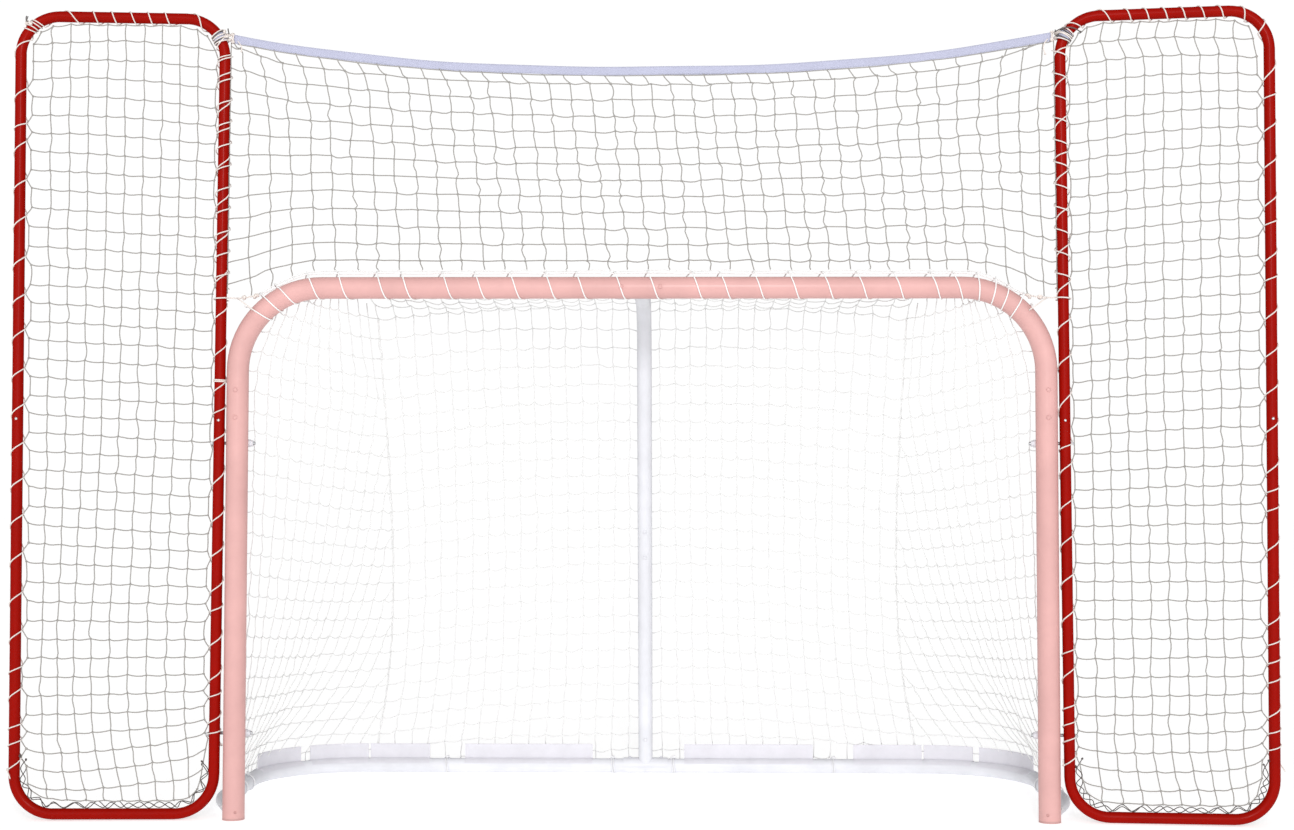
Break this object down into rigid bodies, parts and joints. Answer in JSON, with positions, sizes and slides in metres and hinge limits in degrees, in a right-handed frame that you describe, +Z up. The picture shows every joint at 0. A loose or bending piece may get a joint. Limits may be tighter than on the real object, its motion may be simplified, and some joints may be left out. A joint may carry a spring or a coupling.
{
  "type": "hockey goal net",
  "caption": "Tube steel street hockey goal with a rear base, cord net and a netted backstop: two hinged side wings and an upper net on a webbing strap.",
  "frame": {"origin": "on the floor, at the middle of the part's width and depth", "axes": "+X to the right seen from the shooter's side, +Y from the mouth towards the rear, +Z up"},
  "size_m": [2.9271, 0.8485, 1.8829],
  "materials": {
    "goal_paint": "semi-gloss powder coat, pale pink",
    "foot_cap_plastic": "moulded plug cap",
    "base_paint": "semi-gloss powder coat, white",
    "channel_plastic": "extruded channel",
    "goal_net_cord": "knotted white net cord",
    "backstop_net_cord": "knotted off-white net cord",
    "lace_cord": "braided lacing cord",
    "tie_cord": "braided tie cord",
    "strap_webbing": "woven webbing",
    "wing_paint": "gloss powder coat, red",
    "zinc_steel": "zinc plated"
  },
  "bodies": {
    "goal_frame": {"left_goal_post": "goal_paint", "right_goal_post": "goal_paint", "crossbar": "goal_paint", "crossbar_sleeves": "zinc_steel", "crossbar_joint_bolts": "goal_paint", "left_foot_cap": "foot_cap_plastic", "right_foot_cap": "foot_cap_plastic", "foot_spigots": "zinc_steel", "foot_spigot_bolts": "zinc_steel", "left_base_rail": "base_paint", "right_base_rail": "base_paint", "base_tee": "base_paint", "base_tee_bolts": "zinc_steel", "centre_post": "base_paint", "support_arm": "base_paint", "support_sleeve": "zinc_steel", "support_bolt": "zinc_steel", "crossbar_bracket": "base_paint", "crossbar_bracket_bolts": "zinc_steel", "base_net_strips": "channel_plastic", "base_net_ties": "tie_cord", "post_net_clips": "zinc_steel", "goal_net_top": "goal_net_cord", "goal_net_back": "goal_net_cord", "goal_net_left": "goal_net_cord", "goal_net_right": "goal_net_cord", "crossbar_lace": "lace_cord", "top_net": "backstop_net_cord", "top_net_laces": "lace_cord", "top_strap": "strap_webbing", "left_hook_bolts": "zinc_steel", "right_hook_bolts": "zinc_steel", "hook_saddles": "zinc_steel", "hook_nuts": "zinc_steel"},
    "left_wing": {"left_wing_upper_tube": "wing_paint", "left_wing_lower_tube": "wing_paint", "left_wing_sleeves": "zinc_steel", "left_wing_snap_buttons": "zinc_steel", "left_wing_net": "backstop_net_cord", "left_wing_lace": "lace_cord", "left_strap_loop": "strap_webbing"},
    "right_wing": {"right_wing_upper_tube": "wing_paint", "right_wing_lower_tube": "wing_paint", "right_wing_sleeves": "zinc_steel", "right_wing_snap_buttons": "zinc_steel", "right_wing_net": "backstop_net_cord", "right_wing_lace": "lace_cord", "right_strap_loop": "strap_webbing"}
  },
  "joints": [
    {"name": "left_wing_swing", "type": "hinge", "parent": "goal_frame", "child": "left_wing", "pos_m": [-0.9868, -0.358, 0], "axis": [-0.0052, 0, -1], "range_deg": [-80, 68]},
    {"name": "right_wing_swing", "type": "hinge", "parent": "goal_frame", "child": "right_wing", "pos_m": [0.9868, -0.358, 0], "axis": [-0.0052, 0, 1], "range_deg": [-80, 68]}
  ]
}
